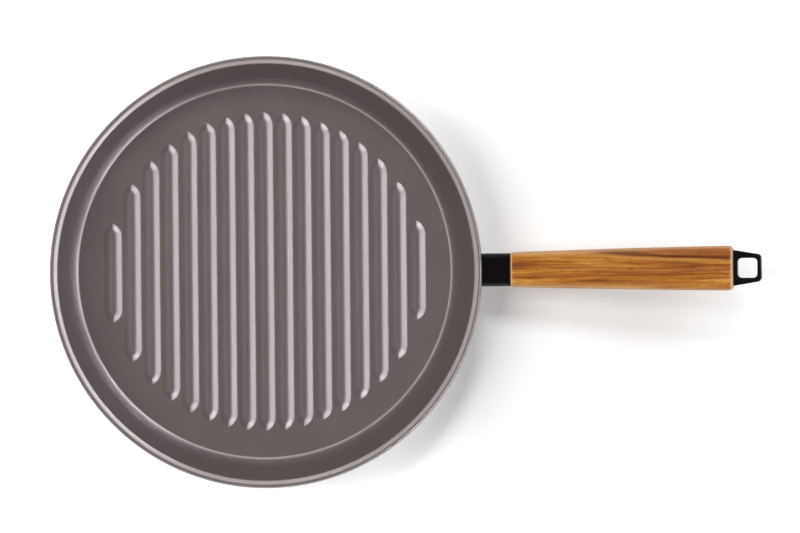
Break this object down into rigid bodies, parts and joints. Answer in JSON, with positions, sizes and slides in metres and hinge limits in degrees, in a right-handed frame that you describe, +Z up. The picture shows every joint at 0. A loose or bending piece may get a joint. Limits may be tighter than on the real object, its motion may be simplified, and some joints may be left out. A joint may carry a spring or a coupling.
{
  "type": "grill pan",
  "caption": "Round ribbed grill pan with a leaning wall, a long wooden handle clamped by a screw, and a hanging loop.",
  "frame": {"origin": "centre of the base, on the plane that the pan rests on", "axes": "+Z up out of the pan, +X along the handle away from the pan, +Y along the ribs"},
  "size_m": [0.4601, 0.28, 0.068],
  "materials": {
    "coated_casting": "matt grey-brown ceramic coating",
    "black_metal": "satin black heat-proof coating",
    "gasket_fibre": "pressed fibre",
    "oiled_wood": "oiled hardwood with long grain",
    "plain_steel": "zinc-plated steel"
  },
  "bodies": {
    "root": {"pan_body": "coated_casting", "neck_sleeve": "black_metal", "heat_gasket": "gasket_fibre", "wooden_grip": "oiled_wood", "tie_screw": "plain_steel", "flat_washer": "plain_steel", "spring_washer": "plain_steel", "end_loop": "black_metal"}
  },
  "joints": []
}
